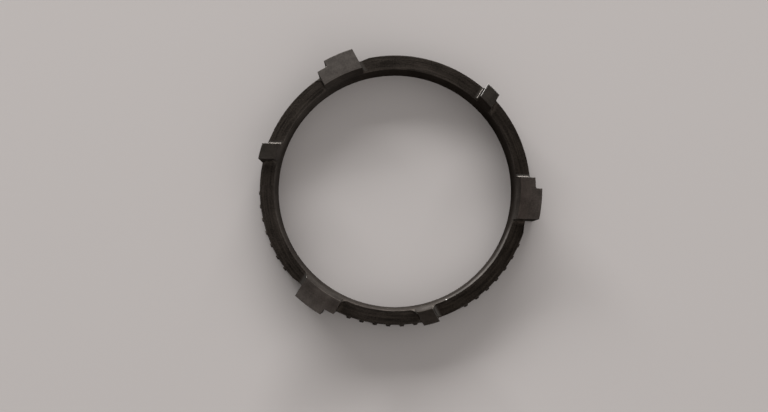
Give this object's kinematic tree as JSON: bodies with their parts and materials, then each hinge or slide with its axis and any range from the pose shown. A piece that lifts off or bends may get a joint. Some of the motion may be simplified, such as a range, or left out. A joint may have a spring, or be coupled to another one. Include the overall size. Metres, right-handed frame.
{
  "type": "synchronizer ring",
  "caption": "Steel gearbox synchronizer ring with a conical friction bore, pointed blocking teeth low on its wall, stepped index lugs and narrow lugs between them.",
  "frame": {"origin": "on the ring's axis, in the plane of its plain face", "axes": "+Z along the axis towards the lugs, +X along the sides of the first stepped lug"},
  "size_m": [0.1428, 0.1396, 0.0185],
  "materials": {
    "phosphated_steel": "black phosphated, satin"
  },
  "bodies": {
    "root": {"synchronizer_ring": "phosphated_steel"}
  },
  "joints": []
}
